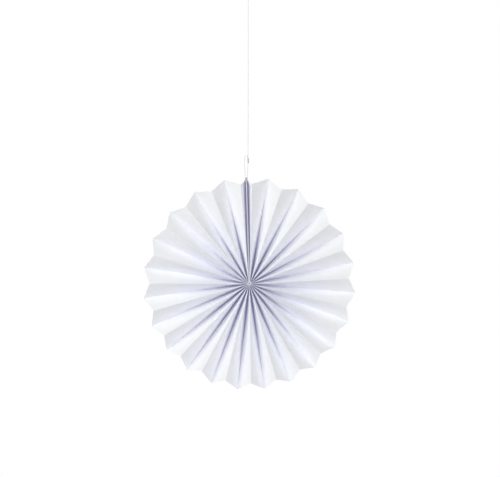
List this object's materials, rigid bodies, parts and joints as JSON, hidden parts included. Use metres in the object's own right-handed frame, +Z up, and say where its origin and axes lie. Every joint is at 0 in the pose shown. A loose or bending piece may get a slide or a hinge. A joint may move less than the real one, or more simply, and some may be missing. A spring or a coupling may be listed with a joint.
{
  "type": "paper fan rosette",
  "caption": "Round hanging decoration of white paper, pleated like a concertina and opened into a full circle with a zigzag rim, on a thread with an eye.",
  "frame": {"origin": "where the eye at the top of the hanging thread bears on its hook", "axes": "+Z up along the taut thread, the fan's front faces -Y, +X to the right as seen from the front"},
  "size_m": [0.3617, 0.031, 0.698],
  "materials": {
    "white_paper": "matte uncoated",
    "white_card": "matte",
    "double_sided_tape": "satin",
    "hot_glue": "satin, milky",
    "cotton_thread": "twisted cotton"
  },
  "bodies": {
    "root": {"pleated_paper": "white_paper", "end_card_left": "white_card", "end_card_right": "white_card", "adhesive_strip": "double_sided_tape", "centre_glue": "hot_glue", "hanging_thread": "cotton_thread", "slack_strand": "cotton_thread", "thread_eye": "cotton_thread", "lower_knot": "cotton_thread", "upper_knot": "cotton_thread"}
  },
  "joints": []
}
